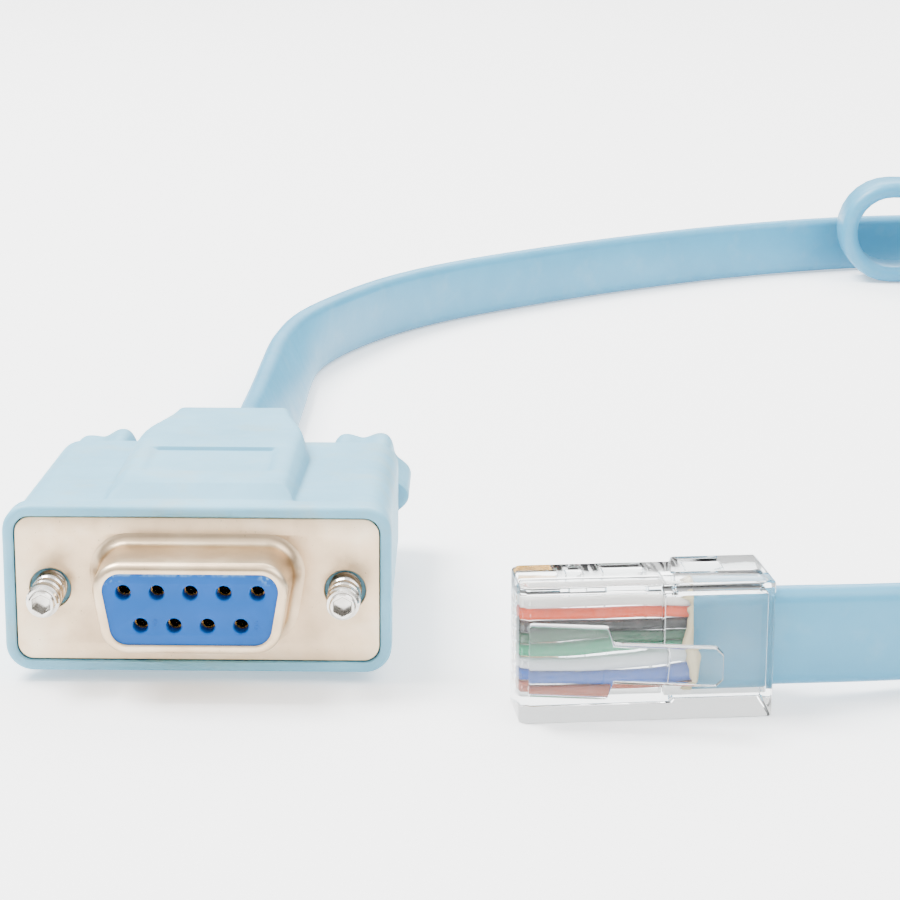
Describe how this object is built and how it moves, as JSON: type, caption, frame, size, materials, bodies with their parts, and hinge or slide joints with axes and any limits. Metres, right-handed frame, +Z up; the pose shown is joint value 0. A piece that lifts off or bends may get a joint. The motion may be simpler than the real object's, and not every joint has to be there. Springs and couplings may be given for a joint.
{
  "type": "console adapter cable",
  "caption": "Light blue flat cable with a nine-way screw-locking socket connector at one end and a clear modular plug at the other, the spare length tied in a hank.",
  "frame": {"origin": "under the middle of the connector, on the surface it lies on", "axes": "-Y is the connector's mating direction, +X to the right seen from its mating face, +Z up"},
  "size_m": [0.2304, 0.2261, 0.0165],
  "materials": {
    "hood_vinyl": "soft moulded light blue vinyl, satin, slightly grimy",
    "lead_vinyl": "smooth light blue flat cable jacket",
    "nickel_plate": "tinned or nickel plated steel, warm grey, fine speckle",
    "blue_insulator": "bright blue moulded insulator, scuffed at its corners",
    "gold_contact": "thin gold over copper alloy",
    "bright_steel": "bright plated screw",
    "clear_plastic": "clear moulded polycarbonate",
    "tie_vinyl": "plain black band",
    "wire_brown": "coloured wire insulation",
    "wire_blue": "coloured wire insulation",
    "wire_grey": "coloured wire insulation",
    "wire_teal": "coloured wire insulation",
    "wire_green": "coloured wire insulation",
    "wire_black": "coloured wire insulation",
    "wire_orange": "coloured wire insulation",
    "wire_white": "coloured wire insulation"
  },
  "bodies": {
    "cable": {"hood": "hood_vinyl", "dsub_shell": "nickel_plate", "insulator": "blue_insulator", "socket_contact_1": "gold_contact", "socket_contact_2": "gold_contact", "socket_contact_3": "gold_contact", "socket_contact_4": "gold_contact", "socket_contact_5": "gold_contact", "socket_contact_6": "gold_contact", "socket_contact_7": "gold_contact", "socket_contact_8": "gold_contact", "socket_contact_9": "gold_contact", "plug_body": "clear_plastic", "plug_blade_1": "gold_contact", "plug_blade_2": "gold_contact", "plug_blade_3": "gold_contact", "plug_blade_4": "gold_contact", "plug_blade_5": "gold_contact", "plug_blade_6": "gold_contact", "plug_blade_7": "gold_contact", "plug_blade_8": "gold_contact", "plug_wire_1": "wire_brown", "plug_wire_2": "wire_blue", "plug_wire_3": "wire_grey", "plug_wire_4": "wire_teal", "plug_wire_5": "wire_green", "plug_wire_6": "wire_black", "plug_wire_7": "wire_orange", "plug_wire_8": "wire_white", "plug_jacket_end": "lead_vinyl", "cord_far": "lead_vinyl", "cord_near": "lead_vinyl", "cord_hank": "lead_vinyl", "hank_tie": "tie_vinyl"},
    "left_screw": {"jackscrew_left": "bright_steel", "thumb_knob_left": "hood_vinyl"},
    "right_screw": {"jackscrew_right": "bright_steel", "thumb_knob_right": "hood_vinyl"},
    "latch": {"plug_latch": "clear_plastic"}
  },
  "joints": [
    {"name": "left_screw_turn", "type": "hinge", "parent": "cable", "child": "left_screw", "pos_m": [-0.01249, 0, 0.00825], "axis": [0, 1, 0], "continuous": true},
    {"name": "right_screw_turn", "type": "hinge", "parent": "cable", "child": "right_screw", "pos_m": [0.01249, 0, 0.00825], "axis": [0, 1, 0], "continuous": true},
    {"name": "latch_press", "type": "hinge", "parent": "cable", "child": "latch", "pos_m": [0.02799, -0.02905, 0.00584], "axis": [0, 0, 1], "range_deg": [0, 9], "stiffness_Nm_per_rad": 0.02}
  ]
}
